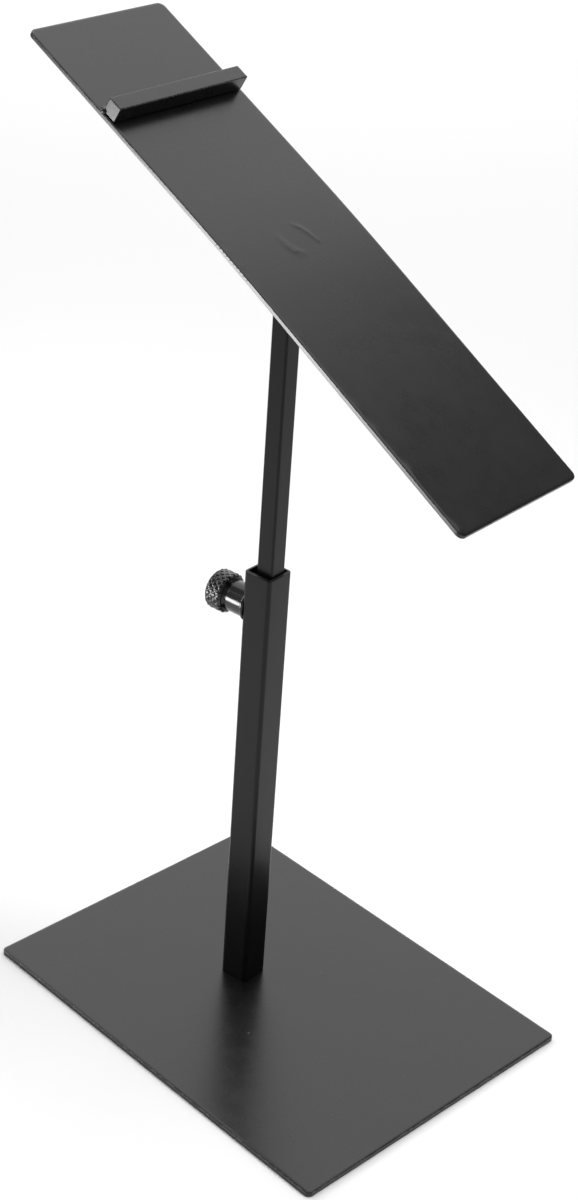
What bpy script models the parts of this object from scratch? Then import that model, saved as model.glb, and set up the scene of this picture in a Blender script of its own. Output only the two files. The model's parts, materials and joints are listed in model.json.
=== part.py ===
"""Height-adjustable display stand: a sloping tray with a stop bar on a telescopic square post.

Frame: metres, +Z up. The origin is the centre of the base plate's underside. The tray slopes down
towards -Y, which is the front, and the thumb screw stands out of the post's back, towards +Y.
Pieces that touch keep a clearance of GAP.
"""

import math

import bmesh
import bpy
from mathutils import Vector

# ---- driving dimensions -------------------------------------------------------------------------

GAP = 0.0003

BASE_WIDTH = 0.150
BASE_DEPTH = 0.200
PLATE_THICKNESS = 0.0025
BASE_CORNER = 0.0025

POST_Y = 0.0205  # the post stands behind the middle of the base
POST_TURN = math.radians(6.0)  # and is fastened slightly turned
RIM_HEIGHT = 0.2067  # top of the outer tube
OUTER_SIDE = 0.0140
OUTER_WALL = 0.0012
OUTER_CORNER = 0.00175

INNER_SIDE = 0.0083
INNER_WALL = 0.0010
INNER_CORNER = 0.0010
INNER_FOOT = 0.1500  # height of the inner tube's lower end

TRAY_HEIGHT = 0.3496  # top of the tray, over the post
TRAY_SLOPE = math.radians(30.8)
TRAY_ROLL = math.radians(0.62)  # its right side hangs a little lower
TRAY_BEND = 0.038  # radians: the weld has pulled both ends down
TRAY_BEND_LENGTH = 0.050
TRAY_SHIFT = 0.0019  # off the post's axis, to the right
TRAY_WIDTH = 0.0730
TRAY_BELOW = 0.1352  # from the post to the low end
TRAY_ABOVE = 0.1205  # from the post to the high end
TRAY_THICKNESS = 0.0020
TRAY_CORNER = 0.0030

BAR_WIDTH = 0.0714
BAR_DEPTH = 0.0065
BAR_TALL = 0.0067
BAR_BACK = 0.0756  # from the post up the slope to the bar's back face

SCREW_HEIGHT = 0.1883
BOSS_RADIUS = 0.00685
BOSS_LENGTH = 0.0092
STUD_RADIUS = 0.0030
NECK_RADIUS = 0.0056
NECK_LENGTH = 0.0014
HEAD_RADIUS = 0.0087
HEAD_LENGTH = 0.0086

FOOT_SCREW_RADIUS = 0.0020
FOOT_SCREW_HEAD = 0.0038
FOOT_SCREW_LENGTH = 0.0125
FOOT_SCREW_SOCKET_RADIUS = 0.00144
FOOT_SCREW_SOCKET_DEPTH = 0.0013
FOOT_PLUG_HEIGHT = 0.0120
FOOT_PLUG_CORNER = 0.0006

WELD_RADIUS = 0.0012
TACK_RADII = (0.0026, 0.0016, 0.0015)  # across the tray, along it and out of it
TACK_INSET = 0.0012  # from the bar's end to the middle of its tack weld

RIM_ROUNDING = 0.0005
EDGE_ROUNDING = 0.0002
HEAD_CHAMFER = 0.0011
THREAD_CHAMFER = 0.0006
FINE_CHAMFER = 0.0004
SHARP_BEND = math.radians(50)  # bevels round only the edges that bend more than this
ROUND_STEPS = 48
SMALL_STEPS = 24
BEAD_STEPS = 40
MERGE = 0.00001
PAST = 0.001  # how far a cutter runs past the face it opens
REACH = 0.030  # size of a cutter that clears everything on one side

# ---- derived dimensions -------------------------------------------------------------------------

OUTER_BORE = OUTER_SIDE - 2 * OUTER_WALL
MAST_Y = -(OUTER_BORE - INNER_SIDE) / 2 + GAP  # the screw presses the mast to the front wall
TUBE_FOOT = PLATE_THICKNESS + GAP
STUD_TIP = MAST_Y + INNER_SIDE / 2 + GAP - OUTER_SIDE / 2
NECK_START = GAP + BOSS_LENGTH + GAP
HEAD_START = NECK_START + NECK_LENGTH
HEAD_END = HEAD_START + HEAD_LENGTH
HEAD_FACE_THICKNESS = 0.0025  # solid metal left in front of the stud
STUD_END = HEAD_END - HEAD_FACE_THICKNESS
STUD_BORE = STUD_RADIUS + GAP
TAP_DRILL = FOOT_SCREW_RADIUS + GAP


# ---- scene helpers ------------------------------------------------------------------------------


def clear_scene():
    for old in list(bpy.data.objects):
        bpy.data.objects.remove(old)


def new_collection(name):
    collection = bpy.data.collections.new(name)
    bpy.context.scene.collection.children.link(collection)
    return collection


def coat(name, colour, roughness, metallic):
    made = bpy.data.materials.new(name)
    made.use_nodes = True
    shader = made.node_tree.nodes["Principled BSDF"]
    shader.inputs["Base Color"].default_value = (*colour, 1.0)
    shader.inputs["Roughness"].default_value = roughness
    shader.inputs["Metallic"].default_value = metallic
    return made


def frame_empty(name, location, rotation=(0.0, 0.0, 0.0), parent=None, order="XYZ"):
    empty = bpy.data.objects.new(name, None)
    GUIDES.objects.link(empty)
    empty.location = location
    empty.rotation_mode = order
    empty.rotation_euler = rotation
    empty.parent = parent
    return empty


def add_object(name, mesh, parent, location=(0.0, 0.0, 0.0), material=None):
    """Links a mesh as a part of the stand, or as a cutter when it has no material."""
    made = bpy.data.objects.new(name, mesh)
    made.parent = parent
    made.location = location
    if material is None:
        CUTTERS.objects.link(made)
        made.hide_render = True
        made.display_type = "WIRE"
    else:
        STAND.objects.link(made)
        mesh.materials.append(material)
    return made


def finish_mesh(bm, name):
    mesh = bpy.data.meshes.new(name)
    bm.to_mesh(mesh)
    bm.free()
    return mesh


def round_edges(part, width, segments=2):
    """Rounds the square edges of a part, and leaves the facets of its round stretches alone."""
    bevel = part.modifiers.new("rounded_edges", "BEVEL")
    bevel.width = width
    bevel.segments = segments
    bevel.limit_method = "ANGLE"
    bevel.angle_limit = SHARP_BEND


def cut(part, *cutters):
    for cutter in cutters:
        boolean = part.modifiers.new("cut_" + cutter.name, "BOOLEAN")
        boolean.operation = "DIFFERENCE"
        boolean.object = cutter


# ---- shapes -------------------------------------------------------------------------------------


def rounded_block(size, corner, steps=4):
    """A block centred on its origin, with its four upright edges rounded to corner."""
    bm = bmesh.new()
    bmesh.ops.create_cube(bm, size=1.0)
    bmesh.ops.scale(bm, vec=Vector(size), verts=bm.verts)
    upright = [e for e in bm.edges if abs(e.verts[0].co.z - e.verts[1].co.z) > size[2] / 2]
    bmesh.ops.bevel(bm, geom=upright, offset=corner, segments=steps, profile=0.5, affect="EDGES")
    return finish_mesh(bm, "rounded_block")


def post_block(name, side, corner, low, high, parent, material=None):
    """A square length of post or bore between two heights."""
    mesh = rounded_block((side, side, high - low), corner)
    return add_object(name, mesh, parent, (0.0, 0.0, (low + high) / 2), material)


def turned(name, profile, parent, material=None, steps=ROUND_STEPS, closed=False):
    """Turns a profile of (radius, height) points, top to bottom, about its frame's Z axis."""
    bm = bmesh.new()
    points = [bm.verts.new((radius, 0.0, height)) for radius, height in profile]
    for first, second in zip(points, points[1:]):
        bm.edges.new((first, second))
    if closed:
        bm.edges.new((points[-1], points[0]))
    part = add_object(name, finish_mesh(bm, name), parent, material=material)
    screw = part.modifiers.new("turned", "SCREW")
    screw.steps = steps
    screw.render_steps = steps
    screw.use_merge_vertices = True
    screw.merge_threshold = MERGE
    return part


def rod_profile(radius, low, high, chamfer):
    return [
        (0.0, high),
        (radius - chamfer, high),
        (radius, high - chamfer),
        (radius, low + chamfer),
        (radius - chamfer, low),
        (0.0, low),
    ]


def plain_rod(name, radius, low, high, parent, steps=ROUND_STEPS):
    """A plain cylinder about its frame's Z axis, used as a cutter."""
    bm = bmesh.new()
    bmesh.ops.create_cone(
        bm, cap_ends=True, segments=steps, radius1=radius, radius2=radius, depth=high - low
    )
    return add_object(name, finish_mesh(bm, name), parent, (0.0, 0.0, (low + high) / 2))


def square_path(side, corner, steps=4):
    """Points round a square with rounded corners, in the XY plane."""
    points = []
    for quarter in range(4):
        middle = math.radians(45 + 90 * quarter)
        reach = (side / 2 - corner) * math.sqrt(2)
        for step in range(steps + 1):
            angle = middle + math.radians(90) * (step / steps - 0.5)
            x = reach * math.cos(middle) + corner * math.cos(angle)
            y = reach * math.sin(middle) + corner * math.sin(angle)
            points.append((x, y))
    return points


def bead_ring(name, path, radius, parent, material):
    """A weld bead: a closed round rod that follows a path of 3-D points."""
    curve = bpy.data.curves.new(name, "CURVE")
    curve.dimensions = "3D"
    curve.bevel_depth = radius
    curve.bevel_resolution = 2
    spline = curve.splines.new("POLY")
    spline.points.add(len(path) - 1)
    for point, place in zip(spline.points, path):
        point.co = (*place, 1.0)
    spline.use_cyclic_u = True
    guide = bpy.data.objects.new(name + "_path", curve)
    GUIDES.objects.link(guide)
    bpy.context.view_layer.update()
    mesh = bpy.data.meshes.new_from_object(
        guide.evaluated_get(bpy.context.evaluated_depsgraph_get())
    )
    bpy.data.objects.remove(guide)
    bm = bmesh.new()
    bm.from_mesh(mesh)
    bmesh.ops.remove_doubles(bm, verts=bm.verts, dist=MERGE)
    return add_object(name, finish_mesh(bm, name), parent, material=material)


def bead_drop(name, radii, centre, parent, material):
    """A tack weld: an egg-shaped drop that its neighbours are cut out of."""
    bm = bmesh.new()
    bmesh.ops.create_uvsphere(bm, u_segments=20, v_segments=12, radius=1.0)
    bmesh.ops.scale(bm, vec=Vector(radii), verts=bm.verts)
    drop = add_object(name, finish_mesh(bm, name), parent, centre, material)
    drop.data.shade_smooth()
    return drop


# ---- the tray's slope and bend ------------------------------------------------------------------


def bent(distance):
    """Place and slope, in the tray's frame, of a point so far up the tray from the post.

    The middle of the tray is an arc TRAY_BEND_LENGTH long, and both ends are straight.
    """
    radius = TRAY_BEND_LENGTH / TRAY_BEND
    arc = max(-TRAY_BEND_LENGTH / 2, min(TRAY_BEND_LENGTH / 2, distance))
    turn = arc / radius
    straight = distance - arc
    y = radius * math.sin(turn) + straight * math.cos(turn)
    z = -radius * (1 - math.cos(turn)) - straight * math.sin(turn)
    return y, z, -turn


def tray_underside(x, y):
    """Height in the mast's frame of the tray's underside over a point near the post."""
    to_mast = MAST_FRAME.matrix_world.inverted() @ TRAY_FRAME.matrix_world
    normal = to_mast.to_3x3() @ Vector((0.0, 0.0, 1.0))
    point = to_mast @ Vector((0.0, 0.0, -TRAY_THICKNESS))
    return point.z - (normal.x * (x - point.x) + normal.y * (y - point.y)) / normal.z


# ---- pieces of the foot and the outer post ------------------------------------------------------


def make_base_plate():
    mesh = rounded_block((BASE_WIDTH, BASE_DEPTH, PLATE_THICKNESS), BASE_CORNER, steps=6)
    plate = add_object("base_plate", mesh, None, (0.0, 0.0, PLATE_THICKNESS / 2), PLATE_COAT)
    round_edges(plate, RIM_ROUNDING, segments=3)
    mouth = FOOT_SCREW_HEAD + GAP + GAP * math.sqrt(2)
    countersink = turned(
        "base_countersink",
        [
            (0.0, PLATE_THICKNESS + PAST),
            (TAP_DRILL, PLATE_THICKNESS + PAST),
            (TAP_DRILL, mouth - TAP_DRILL),
            (mouth, 0.0),
            (mouth, -PAST),
            (0.0, -PAST),
        ],
        POST_FRAME,
        steps=SMALL_STEPS,
    )
    cut(plate, countersink)


def make_base_screw():
    """A countersunk screw with a hexagon socket, driven up from underneath."""
    low = GAP
    head_top = low + FOOT_SCREW_HEAD - FOOT_SCREW_RADIUS
    top = low + FOOT_SCREW_LENGTH
    screw = turned(
        "base_screw",
        [
            (0.0, top),
            (FOOT_SCREW_RADIUS - FINE_CHAMFER, top),
            (FOOT_SCREW_RADIUS, top - FINE_CHAMFER),
            (FOOT_SCREW_RADIUS, head_top),
            (FOOT_SCREW_HEAD, low),
            (0.0, low),
        ],
        POST_FRAME,
        BARE_STEEL,
        steps=SMALL_STEPS,
    )
    socket = plain_rod(
        "base_screw_socket",
        FOOT_SCREW_SOCKET_RADIUS,
        low - PAST,
        low + FOOT_SCREW_SOCKET_DEPTH,
        POST_FRAME,
        steps=6,
    )
    cut(screw, socket)


def make_foot_plug():
    """The tapped block inside the tube's foot that the base screw pulls on."""
    side = OUTER_BORE - 2 * GAP
    top = TUBE_FOOT + FOOT_PLUG_HEIGHT
    plug = post_block(
        "foot_plug", side, FOOT_PLUG_CORNER, TUBE_FOOT, top, POST_FRAME, BARE_STEEL
    )
    round_edges(plug, EDGE_ROUNDING)
    thread = plain_rod("foot_plug_thread", TAP_DRILL, 0.0, RIM_HEIGHT, POST_FRAME, SMALL_STEPS)
    cut(plug, thread)


def make_outer_tube():
    tube = post_block(
        "outer_tube", OUTER_SIDE, OUTER_CORNER, TUBE_FOOT, RIM_HEIGHT, POST_FRAME, TUBE_COAT
    )
    round_edges(tube, EDGE_ROUNDING)
    bore_corner = OUTER_CORNER - OUTER_WALL
    bore = post_block(
        "outer_tube_bore", OUTER_BORE, bore_corner, 0.0, RIM_HEIGHT + PAST, POST_FRAME
    )
    hole = plain_rod(
        "outer_tube_screw_hole", STUD_BORE, -OUTER_WALL - PAST, PAST, SCREW_FRAME
    )
    cut(tube, bore, hole)


def make_clamp_boss():
    """The threaded barrel on the tube's back face that the thumb screw runs in."""
    top = GAP + BOSS_LENGTH
    turned(
        "clamp_boss",
        [
            (BOSS_RADIUS - FINE_CHAMFER, top),
            (BOSS_RADIUS, top - FINE_CHAMFER),
            (BOSS_RADIUS, GAP),
            (STUD_BORE, GAP),
            (STUD_BORE, top - FINE_CHAMFER),
            (STUD_BORE + FINE_CHAMFER, top),
        ],
        SCREW_FRAME,
        KNOB_COAT,
        closed=True,
    )


def make_boss_weld():
    """The bead round the boss, where it meets the tube's back face."""
    around = [math.tau * step / BEAD_STEPS for step in range(BEAD_STEPS)]
    reach = BOSS_RADIUS + GAP / 2
    path = [(reach * math.cos(a), reach * math.sin(a), GAP) for a in around]
    bead = bead_ring("boss_weld", path, WELD_RADIUS, SCREW_FRAME, TUBE_COAT)
    tube_room = post_block(
        "boss_weld_tube_room",
        OUTER_SIDE + 2 * GAP,
        OUTER_CORNER + GAP,
        SCREW_HEIGHT - OUTER_SIDE,
        SCREW_HEIGHT + OUTER_SIDE,
        POST_FRAME,
    )
    boss_room = plain_rod(
        "boss_weld_boss_room", BOSS_RADIUS + GAP, -OUTER_SIDE / 2, BOSS_LENGTH, SCREW_FRAME
    )
    cut(bead, tube_room, boss_room)


# ---- pieces of the thumb screw ------------------------------------------------------------------


def make_clamp_stud():
    profile = rod_profile(STUD_RADIUS, STUD_TIP, STUD_END, THREAD_CHAMFER)
    turned("clamp_stud", profile, SCREW_FRAME, BARE_STEEL)


def make_thumb_knob():
    """The knurled head and its neck, with the blind hole that the stud is fixed in."""
    turned(
        "thumb_knob",
        [
            (0.0, HEAD_END),
            (HEAD_RADIUS - HEAD_CHAMFER, HEAD_END),
            (HEAD_RADIUS, HEAD_END - HEAD_CHAMFER),
            (HEAD_RADIUS, HEAD_START + HEAD_CHAMFER),
            (HEAD_RADIUS - HEAD_CHAMFER, HEAD_START),
            (NECK_RADIUS, HEAD_START),
            (NECK_RADIUS, NECK_START + EDGE_ROUNDING),
            (NECK_RADIUS - EDGE_ROUNDING, NECK_START),
            (STUD_BORE, NECK_START),
            (STUD_BORE, STUD_END + GAP),
            (0.0, STUD_END + GAP),
        ],
        SCREW_FRAME,
        KNOB_COAT,
    )


# ---- pieces of the mast -------------------------------------------------------------------------


def make_above_tray_underside():
    """A cutter that fills the space above the tray's underside, with its clearance."""
    bm = bmesh.new()
    bmesh.ops.create_cube(bm, size=REACH)
    low = -TRAY_THICKNESS - GAP
    return add_object(
        "above_tray_underside",
        finish_mesh(bm, "above_tray_underside"),
        TRAY_FRAME,
        (0.0, 0.0, low + REACH / 2),
    )


def make_inner_tube(above_underside):
    tube = post_block(
        "inner_tube", INNER_SIDE, INNER_CORNER, INNER_FOOT, TRAY_HEIGHT, MAST_FRAME, TUBE_COAT
    )
    bore = post_block(
        "inner_tube_bore",
        INNER_SIDE - 2 * INNER_WALL,
        INNER_CORNER / 2,
        INNER_FOOT - PAST,
        TRAY_HEIGHT + PAST,
        MAST_FRAME,
    )
    round_edges(tube, EDGE_ROUNDING)
    cut(tube, bore, above_underside)


def make_tray_weld(above_underside):
    """The bead round the inner tube's top, under the tray."""
    side = INNER_SIDE + GAP
    path = [
        (x, y, tray_underside(x, y) - GAP)
        for x, y in square_path(side, INNER_CORNER + WELD_RADIUS)
    ]
    bead = bead_ring("tray_weld", path, WELD_RADIUS, MAST_FRAME, TUBE_COAT)
    tube_room = post_block(
        "tray_weld_tube_room",
        INNER_SIDE + 2 * GAP,
        INNER_CORNER + GAP,
        TRAY_HEIGHT - REACH,
        TRAY_HEIGHT + REACH,
        MAST_FRAME,
    )
    cut(bead, tube_room, above_underside)


def make_tray_plate():
    """The tray: a strip with round corners, bent a little over the post."""
    length = TRAY_BELOW + TRAY_ABOVE
    bm = bmesh.new()
    bmesh.ops.create_grid(bm, x_segments=2, y_segments=48, size=0.5)
    bmesh.ops.scale(bm, vec=Vector((TRAY_WIDTH, length, 1.0)), verts=bm.verts)
    bmesh.ops.translate(bm, vec=Vector((0.0, TRAY_ABOVE - length / 2, 0.0)), verts=bm.verts)
    corners = [v for v in bm.verts if len(v.link_edges) == 2]
    bmesh.ops.bevel(
        bm, geom=corners, offset=TRAY_CORNER, segments=5, profile=0.5, affect="VERTICES"
    )
    for vertex in bm.verts:
        vertex.co.y, vertex.co.z, _ = bent(vertex.co.y)
    plate = add_object("tray_plate", finish_mesh(bm, "tray_plate"), TRAY_FRAME, material=PLATE_COAT)
    shell = plate.modifiers.new("thickness", "SOLIDIFY")
    shell.thickness = TRAY_THICKNESS
    shell.offset = -1.0
    round_edges(plate, RIM_ROUNDING, segments=3)


def make_stop_bar():
    """The bar that stops what lies on the tray, and the tack weld behind each of its ends."""
    y, z, slope = bent(BAR_BACK - BAR_DEPTH / 2)
    bar_frame = frame_empty("bar_frame", (0.0, y, z), (slope, 0.0, 0.0), TRAY_FRAME)
    size = (BAR_WIDTH, BAR_DEPTH, BAR_TALL)
    middle = (0.0, 0.0, GAP + BAR_TALL / 2)
    bar = add_object("stop_bar", rounded_block(size, RIM_ROUNDING), bar_frame, middle, PLATE_COAT)
    round_edges(bar, RIM_ROUNDING)
    grown = Vector(size) + Vector((2 * GAP, 2 * GAP, 2 * GAP))
    bar_room = add_object(
        "tack_bar_room", rounded_block(grown, RIM_ROUNDING + GAP), bar_frame, middle
    )
    tray_room = add_object(
        "tack_tray_room",
        rounded_block((TRAY_WIDTH, REACH, REACH), TRAY_CORNER),
        bar_frame,
        (0.0, 0.0, GAP - REACH / 2),
    )
    for side, word in ((-1, "left"), (1, "right")):
        corner = (side * (BAR_WIDTH / 2 - TACK_INSET), BAR_DEPTH / 2, GAP)
        tack = bead_drop("stop_bar_weld_" + word, TACK_RADII, corner, bar_frame, PLATE_COAT)
        cut(tack, bar_room, tray_room)


# ---- build --------------------------------------------------------------------------------------

clear_scene()
STAND = new_collection("display_stand")
CUTTERS = new_collection("cutters")
GUIDES = new_collection("guides")

PLATE_COAT = coat("plate_coat", (0.028, 0.028, 0.029), 0.36, 0.0)
TUBE_COAT = coat("tube_coat", (0.022, 0.022, 0.023), 0.38, 0.0)
KNOB_COAT = coat("knob_coat", (0.018, 0.018, 0.018), 0.25, 0.0)
BARE_STEEL = coat("bare_steel", (0.42, 0.42, 0.43), 0.35, 1.0)

POST_FRAME = frame_empty("post_frame", (0.0, POST_Y, 0.0), (0.0, 0.0, POST_TURN))
SCREW_FRAME = frame_empty(
    "screw_frame", (0.0, OUTER_SIDE / 2, SCREW_HEIGHT), (-math.pi / 2, 0.0, 0.0), POST_FRAME
)
MAST_FRAME = frame_empty("mast_frame", (0.0, MAST_Y, 0.0), parent=POST_FRAME)
TRAY_FRAME = frame_empty(
    "tray_frame",
    (TRAY_SHIFT, -MAST_Y, TRAY_HEIGHT),
    (TRAY_SLOPE, TRAY_ROLL, 0.0),
    MAST_FRAME,
    order="YXZ",
)
bpy.context.view_layer.update()

make_base_plate()
make_base_screw()
make_foot_plug()
make_outer_tube()
make_clamp_boss()
make_boss_weld()
make_clamp_stud()
make_thumb_knob()
ABOVE_UNDERSIDE = make_above_tray_underside()
make_inner_tube(ABOVE_UNDERSIDE)
make_tray_weld(ABOVE_UNDERSIDE)
make_tray_plate()
make_stop_bar()
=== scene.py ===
"""Looks of the adjustable display stand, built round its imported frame.

Lengths are in metres. Each piece is measured from the CAD node that it stands for: its axes, its
centre and its size come from the frame, and only the fine detail is sized here.
"""

import json
import math

import bmesh
import bpy
import numpy as np
from mathutils import Matrix, Vector, noise
from mathutils.bvhtree import BVHTree


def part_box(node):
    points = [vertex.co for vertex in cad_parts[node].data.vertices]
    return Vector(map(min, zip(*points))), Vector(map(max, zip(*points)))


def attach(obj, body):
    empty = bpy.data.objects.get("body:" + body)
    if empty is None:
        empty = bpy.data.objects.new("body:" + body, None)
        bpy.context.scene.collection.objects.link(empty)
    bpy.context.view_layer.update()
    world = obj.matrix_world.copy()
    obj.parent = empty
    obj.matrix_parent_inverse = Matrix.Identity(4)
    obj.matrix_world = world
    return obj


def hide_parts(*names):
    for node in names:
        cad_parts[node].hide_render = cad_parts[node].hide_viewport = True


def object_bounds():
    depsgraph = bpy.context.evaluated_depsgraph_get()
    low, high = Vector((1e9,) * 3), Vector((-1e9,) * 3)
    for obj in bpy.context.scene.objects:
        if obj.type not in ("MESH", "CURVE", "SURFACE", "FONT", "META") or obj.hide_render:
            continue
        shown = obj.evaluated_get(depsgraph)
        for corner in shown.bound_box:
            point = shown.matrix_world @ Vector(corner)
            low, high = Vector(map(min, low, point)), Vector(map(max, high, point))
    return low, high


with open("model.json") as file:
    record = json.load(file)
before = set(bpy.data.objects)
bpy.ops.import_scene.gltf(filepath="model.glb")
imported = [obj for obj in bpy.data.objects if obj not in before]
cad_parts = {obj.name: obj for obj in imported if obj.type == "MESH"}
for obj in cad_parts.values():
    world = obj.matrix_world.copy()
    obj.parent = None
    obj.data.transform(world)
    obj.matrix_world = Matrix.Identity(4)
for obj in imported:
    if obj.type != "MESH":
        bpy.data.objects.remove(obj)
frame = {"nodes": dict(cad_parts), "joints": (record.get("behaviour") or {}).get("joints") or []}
CAD_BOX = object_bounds()

MM = 0.001
RIGHT = Vector((1.0, 0.0, 0.0))
UP = Vector((0.0, 0.0, 1.0))
HOME = Matrix.Identity(4)

# ---- fine detail --------------------------------------------------------------------------------

SHEET_ROLL = 1.5 * MM  # how far in from its edge a sheared plate starts to fall away
SHEET_DROP = 0.55 * MM  # how far its top has fallen at the edge
SHEET_FLAT = 4.0 * MM  # how far in its last ring of points lies, well inside the roll
BURR_SIDE = 0.25 * MM  # rounding of its lower edge
BASE_CORNER = 2.5 * MM

TRAY_CORNER = 3.0 * MM
TRAY_ROLL = 1.3 * MM
TRAY_DROP = 0.5 * MM
TRAY_TRIM = 0.3 * MM  # keeps the sloping end inside the measured plate
BAR_ROUNDING = 0.45 * MM
BAR_SLICE = 1.2 * MM  # spacing of the cuts that let the bar's faces waver

TUBE_CORNER = 1.75 * MM
TUBE_SLICE = 12 * MM
RIM_ROUNDING = 0.5 * MM
RIM_LIP = 0.22 * MM  # ridge of coat along the upper bore
INNER_TUBE_CORNER = 1.0 * MM
INNER_TUBE_ROUNDING = 0.2 * MM

BASE_SCREW_CLEARANCE = 0.7 * MM
BASE_SCREW_HOLE = 2.3 * MM
STUD_BORE = 3.3 * MM  # radius of the holes that the thumb screw's stud is in
KNURL_COUNT = 18
KNURL_PITCH = 3.2 * MM
KNURL_DEPTH = 0.4 * MM
KNURL_FLAT = 1.9  # above 1 the diamonds have flat tops
HEAD_CHAMFER = 1.1 * MM
THREAD_PITCH = 1.0 * MM
THREAD_DEPTH = 0.55 * MM
THREAD_CHAMFER = 0.7 * MM

EDGE_HIGHLIGHT_BEND = math.radians(12)  # edges that bend more than this get a painted highlight, a paler coat colour
EDGE_HIGHLIGHT_BEND_RANGE = math.radians(4)  # and fully so when they bend this much more
EDGE_HIGHLIGHT_WIDTH = 0.8 * MM  # broader faces than this get no painted highlight

# ---- measuring the frame ------------------------------------------------------------------------


def facing(node, towards):
    """Mean normal, by area, of a node's broad face that looks about one way."""
    for least in (0.8, 0.99, 0.9995):
        total = Vector()
        for face in frame["nodes"][node].data.polygons:
            if face.normal.dot(towards) > least:
                total += face.area * face.normal
        towards = total.normalized()
    return towards


def axes(right, up):
    """A rotation whose Z is up and whose X is as near to right as it can be."""
    x = (right - right.dot(up) * up).normalized()
    return Matrix((x, up.cross(x), up)).transposed()


def measured(node, place):
    """Lowest and highest corner of a node along the axes of a place."""
    to_place = place.inverted()
    points = [to_place @ vertex.co for vertex in frame["nodes"][node].data.vertices]
    return Vector(map(min, *points)), Vector(map(max, *points))


def centred(node, turn):
    """A place at a node's centre with the given axes, and the node's size along them."""
    low, high = measured(node, turn.to_4x4())
    return Matrix.Translation(turn @ ((low + high) / 2)) @ turn.to_4x4(), high - low


def solid(node, place):
    """A node's surface, ready for rays, in the coordinates of a place."""
    mesh = frame["nodes"][node].data
    to_place = place.inverted()
    points = [to_place @ vertex.co for vertex in mesh.vertices]
    return BVHTree.FromPolygons(points, [tuple(face.vertices) for face in mesh.polygons])


JOINTS = {joint["name"]: joint for joint in frame["joints"]}
SCREW_AXIS = Vector(JOINTS["knob_turn"]["axis"]).normalized()
SCREW_PLACE = Matrix.Translation(JOINTS["knob_turn"]["pos_m"]) @ axes(UP, SCREW_AXIS).to_4x4()
POST_TURN = axes(facing("outer_tube", RIGHT), UP)
TRAY_TURN = axes(facing("tray_plate", RIGHT), facing("tray_plate", UP))
BAR_TURN = axes(facing("stop_bar", RIGHT), facing("stop_bar", UP))

# ---- outlines and profiles ----------------------------------------------------------------------


def rounded_rectangle(width, depth, corner, steps=8):
    """Points round a rectangle with round corners, anticlockwise."""
    points = []
    for quarter, (side_x, side_y) in enumerate(((1, 1), (-1, 1), (-1, -1), (1, -1))):
        for step in range(steps + 1):
            angle = math.tau / 4 * (quarter + step / steps)
            x = side_x * (width / 2 - corner) + corner * math.cos(angle)
            y = side_y * (depth / 2 - corner) + corner * math.sin(angle)
            points.append((x, y))
    return points


def circle(radius, steps):
    turns = [math.tau * step / steps for step in range(steps)]
    return [(radius * math.cos(turn), radius * math.sin(turn)) for turn in turns]


def hexagon(radius, steps):
    """Points round a hexagon at the same angles as those of a circle."""
    points = []
    for step in range(steps):
        turn = math.tau * step / steps
        off_flat = turn % (math.tau / 6) - math.tau / 12
        reach = radius * math.cos(math.tau / 12) / math.cos(off_flat)
        points.append((reach * math.cos(turn), reach * math.sin(turn)))
    return points


def softened(corners, steps=6):
    """Rounds a profile of (across, height, reach before, reach after) corners with elliptic arcs."""
    points = []
    last = len(corners) - 1
    for index, (across, height, before, after) in enumerate(corners):
        here = Vector((across, height))
        if index in (0, last) or before == 0.0:
            points.append(tuple(here))
            continue
        back = (Vector(corners[index - 1][:2]) - here).normalized()
        onward = (Vector(corners[index + 1][:2]) - here).normalized()
        weight = math.sin(back.angle(onward) / 2)
        for step in range(steps + 1):
            share = step / steps
            parts = ((1 - share) ** 2, 2 * weight * share * (1 - share), share**2)
            ends = (here + back * before, here, here + onward * after)
            total = sum((end * part for end, part in zip(ends, parts)), Vector((0.0, 0.0)))
            points.append(tuple(total / sum(parts)))
    return points


def loft(rings, ends="capped"):
    """A surface through rings of 3-D points: capped, left open, or closed into a loop."""
    bm = bmesh.new()
    rows = [[bm.verts.new(point) for point in ring] for ring in rings]
    pairs = list(zip(rows, rows[1:]))
    if ends == "loop":
        pairs.append((rows[-1], rows[0]))
    for row, above in pairs:
        for index in range(len(row)):
            after = (index + 1) % len(row)
            bm.faces.new((row[index], row[after], above[after], above[index]))
    if ends == "capped":
        bm.faces.new(list(reversed(rows[0])))
        bm.faces.new(rows[-1])
    return bm


def turned(profile, steps):
    """A solid turned about Z from a profile that starts and ends on the axis, bottom first."""
    rings = [[(x, y, height) for x, y in circle(radius, steps)] for radius, height in profile]
    bm = loft(rings, ends="open")
    bmesh.ops.remove_doubles(bm, verts=bm.verts, dist=0.001 * MM)
    return bm


def sheet(size, corner, roll=SHEET_ROLL, drop=SHEET_DROP, flat=SHEET_FLAT, burr=BURR_SIDE):
    """A plate centred on its origin. Its top falls away towards the edges, as a sheared one does."""
    half = size.z / 2
    profile = softened(
        [(flat, -half, 0, 0), (0, -half, burr, burr), (0, half, drop, roll), (flat, half, 0, 0)]
    )
    rings = []
    for inset, height in profile:
        left = max(corner - inset, 0.1 * corner)
        outline = rounded_rectangle(size.x - 2 * inset, size.y - 2 * inset, left)
        rings.append([(x, y, height) for x, y in outline])
    return loft(rings)


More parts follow.
